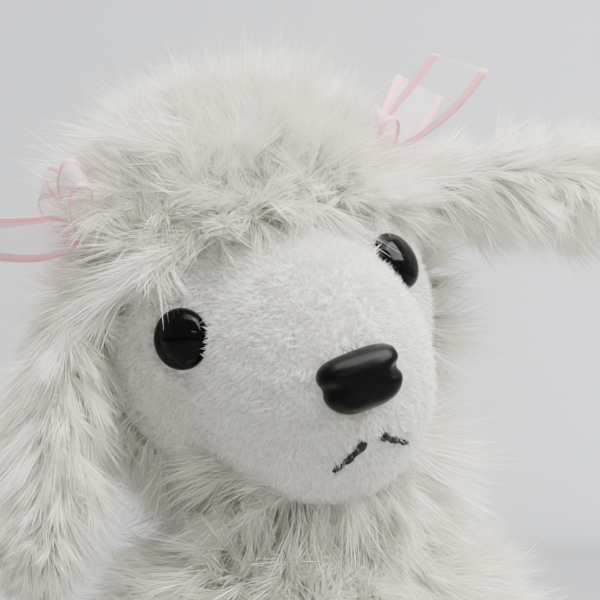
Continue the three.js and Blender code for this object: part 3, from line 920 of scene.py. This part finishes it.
def make_bow(side):
    """A bow of sheer ribbon with satin edges: two loops, two tails and the wrap round its waist."""
    up = -SIDES[side]
    away = unit(BOWS[side]["aim"])
    across = unit(np.cross(away, [0, -1, 0]))
    axes = np.stack([np.cross(across, away), across, away], axis=1)
    place = Place(HEAD.point(BOWS[side]["at"]), HEAD.axes @ axes)
    strips, length = [], 0.0
    angle = np.linspace(0, 2 * math.pi, 40)[:, None]
    for way in (-1, 1):
        out = unit([way * 0.66, up * 0.75, 0.12])
        reach = LOOP_LENGTH[side] * (1 - np.cos(angle)) / 2
        lift = LOOP_HEIGHT / 2 * np.sin(angle) * np.sqrt((1 - np.cos(angle)) / 2)
        path = reach * out + lift * np.array([0, 0, 1.0])
        sideways = np.tile(np.cross([0, 0, 1.0], out), (len(path), 1))
        strips.append(ribbon_strip(path, sideways, gathers=(0.5, 0.5)))
        length += np.linalg.norm(np.diff(path, axis=0), axis=1).sum()
    t = np.linspace(0, 1, 24)[:, None]
    for way in (1, -1):
        lean = np.array([0.15 if way > 0 else -1.0, 0.05 * up, 0])
        bow_out = np.array([0.1, -0.22 * up if side == "right" else 0.16, 0])
        path = TAIL_LENGTH * (t * (np.array([0, 0, 1.0]) + lean) + t * (1 - t) * bow_out - 0.1 * t**2 * lean)
        path = path * TAIL_LENGTH / np.linalg.norm(path[-1])
        turned_by = math.radians(TAIL_TWIST[side]) * np.sin(t * math.pi / 2)
        sideways = np.cos(turned_by) * [0, 1.0, 0] + np.sin(turned_by) * [1.0, 0, 0]
        strips.append(ribbon_strip(path, sideways, ends=(0, TAIL_CUT), gathers=(0.55, 1)))
        length += TAIL_LENGTH
    shape = joined(*strips).placed(place)
    column = np.concatenate([
        np.tile(np.arange(RIBBON_COLUMNS), len(strip.triangles) // RIBBON_COLUMNS) for strip in strips
    ])
    middle = (column + 0.5) / RIBBON_COLUMNS * RIBBON
    sheer = (middle > SATIN_EDGE) & (middle < RIBBON - SATIN_EDGE)
    loops = shape.triangles.ravel()
    starts = np.arange(len(shape.triangles)) * 3
    name = f"{side}_bow_ribbon"
    ribbon = link_mesh(f"{name}_sheet", shape.points, loops, starts, [satin, organza], sheer)
    film = ribbon.modifiers.new("film", "SOLIDIFY")
    film.thickness, film.offset = 0.12 * MM, 0
    settle(ribbon, "head", [name])
    directions, triangles = ball(14)
    ridge = 1 + 0.07 * np.cos(9 * np.arctan2(directions[:, 2], directions[:, 1]))[:, None]
    wrap = Surface(directions * [2.3, 3.3, 3.0] * ridge, triangles).placed(place)
    knot = f"{side}_bow_knot"
    knot_piece = skin(f"{knot}_wrap", wrap, "head", satin, [knot], thickness=0)


# ---- Neck, body, legs and tail -------------------------------------------------------------------


def downy(points, normals):
    """Pile that lies down and outwards."""
    return 0.95 * normals - 0.7 * UP


def make_neck():
    band = ball(16)
    whole = Surface(band[0] * NECK_RADIUS, band[1])
    whole = whole.cut(((0, 0, NECK_BAND), (0, 0, 1)), ((0, 0, -NECK_BAND), (0, 0, 1)))
    whole = whole.only(np.abs(whole.middles()[:, 2]) < NECK_BAND)
    whole = whole.placed(Place(JOINT_AT["head_tilt"], np.eye(3)))
    skin("neck_skin", whole, "neck_cover", long_pile_base, ["neck_panel"])
    ruff = Pile(locks=0.4, each=22, length=17, width=0.16, gather=0.6, frizz=0.09)
    fur("neck_pile", whole, ruff, downy, "neck_cover", 51)


def make_body():
    floor = ((0, 0, 0), (0, 0, 1))
    side = ((0, SIDE_SEAM, 0), (0, 1, 0))
    whole = stuffed(BODY_LOBES, 30)
    whole = Surface(np.maximum(whole.points + BODY_CENTRE, [-200, -200, 0.0]), whole.triangles)
    pivot = JOINT_AT["head_tilt"]
    near = np.linalg.norm(whole.middles() - pivot, axis=1) < NECK_RADIUS + 1.2
    whole = whole.only(~near).cut(side)
    ahead = whole.middles()[:, 1] < SIDE_SEAM
    for part, chosen in (("front", ahead), ("back", ~ahead)):
        half = whole.only(chosen)
        node = f"body_{part}_panel"
        skin(f"body_{part}_skin", half, "torso", long_pile_base, [node])
    chest = Pile(locks=0.42, each=24, length=17, width=0.16, gather=0.6, frizz=0.1)
    coat = Pile(locks=0.24, each=14, length=11, width=0.34, steps=3)
    fur(
        "chest_pile", whole, chest, downy, "torso", 61,
        keep=lambda p: (p[:, 2] > CHEST_BOTTOM) & (p[:, 1] < CHEST_BACK),
    )
    fur(
        "body_pile", whole, coat, downy, "torso", 62,
        keep=lambda p: ((p[:, 2] <= CHEST_BOTTOM) | (p[:, 1] >= CHEST_BACK)) & (p[:, 2] > 3),
    )


def capsule(radius, length, steps):
    """A capsule down -Z from the origin."""
    directions, triangles = ball(steps)
    points = directions * radius
    points[:, 2] -= length * (directions[:, 2] < 0)
    return Surface(points, triangles)


def make_leg(end, side):
    """A leg with a long-pile sleeve and a short-pile paw."""
    spec = LEGS[end]
    body = f"{side}_{end}_leg"
    hip = JOINT_AT[f"{body}_swing"]
    foot = np.array([SIDES[side] * spec["foot"][0], *spec["foot"][1:]])
    length = np.linalg.norm(hip - foot)
    upwards = Vector(hip - foot).normalized()
    axes = np.array(Vector((0, 0, 1)).rotation_difference(upwards).to_matrix())
    place = Place(hip, axes)
    limb = capsule(spec["radius"], length, 18)
    paw = egg(spec["paw"], [0, -spec["ahead"], -length], 18)
    seam = ANKLE - length
    limb = limb.cut(((0, 0, seam), (0, 0, 1)))
    sleeve = limb.only(limb.middles()[:, 2] > seam).placed(place)
    lower = joined(limb.only(limb.middles()[:, 2] < seam), paw)
    paw = lower.placed(place)
    skin(f"{body}_skin", sleeve, body, long_pile_base, [f"{body}_sleeve"])
    skin(f"{side}_{end}_paw_skin", paw, body, short_pile_base, [f"{side}_{end}_paw"])
    coat = Pile(locks=0.25, each=8, length=9, width=0.42, steps=3)
    fuzz = Pile(
        locks=1.2, each=5, length=2.6, width=0.3, steps=2, gather=0.25, tousle=0.3, wavelength=9,
        stray=0.3, frizz=0.12, droop=0.0, least_rise=0.4, finish=short_strands,
    )

    def lay(points, normals):
        return 0.7 * normals + place.direction([0, 0, -0.9])

    seed = 71 + 2 * (end == "hind") + (side == "left")
    fur(f"{body}_pile", sleeve, coat, lay, body, seed, keep=lambda p: p[:, 2] > 3)
    fur(
        f"{side}_{end}_paw_pile", paw, fuzz, lambda p, n: n, body, seed + 10,
        keep=lambda p: p[:, 2] > 2,
    )


def make_tail():
    root = JOINT_AT["tail_lift"]
    axes = np.array(Vector((0, 0, 1)).rotation_difference(Vector(TAIL_TIP - root)).to_matrix())
    place = Place(root, axes)
    length = np.linalg.norm(TAIL_TIP - root)
    stalk = capsule(TAIL_STALK, -length, 10)
    pom = egg([TAIL_POM] * 3, [0, 0, length], 14)
    whole = joined(stalk, pom).placed(place)
    skin("tail_skin", whole, "tail", long_pile_base, ["tail_cover"])
    fluff = Pile(locks=0.35, each=12, length=9, width=0.35)
    fur("tail_pile", pom.placed(place), fluff, lambda p, n: n, "tail", 91)


# ---- The toy -------------------------------------------------------------------------------------

add_camera()
add_lights()
add_floor(floor_finish)
add_wall_wash()
make_head()
for each_side in SIDES:
    make_eye(each_side)
    make_mouth(each_side)
    make_ear(each_side)
    make_bow(each_side)
    for each_end in LEGS:
        make_leg(each_end, each_side)
make_nose()
make_neck()
make_body()
make_tail()

for node_name, node in frame["nodes"].items():
    kept = fill_finish if "stuffing" in node_name else washer_finish
    node.data.materials.clear()
    node.data.materials.append(kept)
